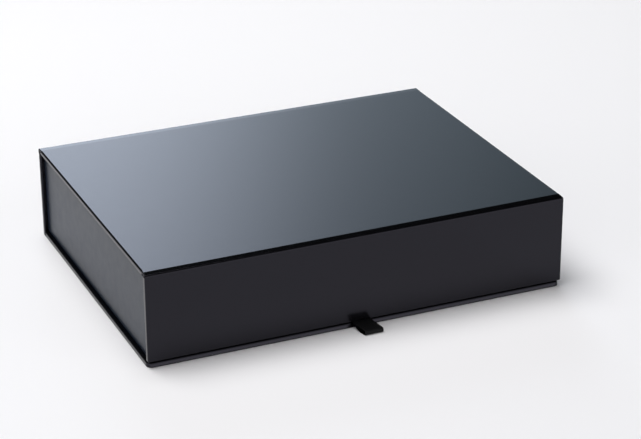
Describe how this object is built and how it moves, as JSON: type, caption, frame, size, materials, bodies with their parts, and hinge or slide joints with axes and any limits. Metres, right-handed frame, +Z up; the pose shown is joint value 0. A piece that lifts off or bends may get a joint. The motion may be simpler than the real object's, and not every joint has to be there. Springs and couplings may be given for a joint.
{
  "type": "gift box",
  "caption": "Black paper-wrapped rigid gift box with a book-style hinged lid, a magnetic front flap and a ribbon pull tab, opening on a lined tray.",
  "frame": {"origin": "middle of the closed case's footprint, on the table; the ribbon pull tab is left out of the footprint", "axes": "+X to the right along the width as seen from the front, -Y the front with the flap, +Z up"},
  "size_m": [0.23, 0.1868, 0.0515],
  "materials": {
    "greyboard": "matte",
    "case_paper": "satin",
    "tray_paper": "satin",
    "lining_paper": "matte",
    "stay_tape": "matte",
    "ribbon": "satin",
    "keeper_steel": "satin",
    "magnet": "polished"
  },
  "bodies": {
    "case": {"base_board": "greyboard", "spine_board": "greyboard", "tray_floor_board": "greyboard", "tray_front_board": "greyboard", "tray_right_board": "greyboard", "tray_rear_board": "greyboard", "tray_left_board": "greyboard", "base_wrap": "case_paper", "spine_wrap": "case_paper", "tray_front_wrap": "tray_paper", "tray_right_wrap": "tray_paper", "tray_rear_wrap": "tray_paper", "tray_left_wrap": "tray_paper", "spine_liner": "lining_paper", "tray_floor_liner": "lining_paper", "corner_tape_front_left": "stay_tape", "corner_tape_front_right": "stay_tape", "corner_tape_rear_right": "stay_tape", "corner_tape_rear_left": "stay_tape", "keeper_disc_left": "keeper_steel", "keeper_disc_right": "keeper_steel"},
    "lid": {"lid_board": "greyboard", "lid_wrap": "case_paper", "lid_liner": "lining_paper", "front_fold": "case_paper", "rear_fold": "case_paper"},
    "flap": {"flap_board": "greyboard", "flap_wrap": "case_paper", "flap_liner": "lining_paper", "flap_magnet_left": "magnet", "flap_magnet_right": "magnet", "ribbon_anchor": "ribbon"},
    "pull_tab": {"ribbon_pull_tab": "ribbon"}
  },
  "joints": [
    {"name": "lid_hinge", "type": "hinge", "parent": "case", "child": "lid", "pos_m": [0, 0.0875, 0.0505], "axis": [-1, 0, 0], "range_deg": [0, 180]},
    {"name": "flap_hinge", "type": "hinge", "parent": "lid", "child": "flap", "pos_m": [0, -0.0875, 0.0505], "axis": [-1, 0, 0], "range_deg": [0, 180]},
    {"name": "tab_fold", "type": "hinge", "parent": "flap", "child": "pull_tab", "pos_m": [0, -0.0883, 0.0035], "axis": [-1, 0, 0], "range_deg": [0, 90]}
  ]
}
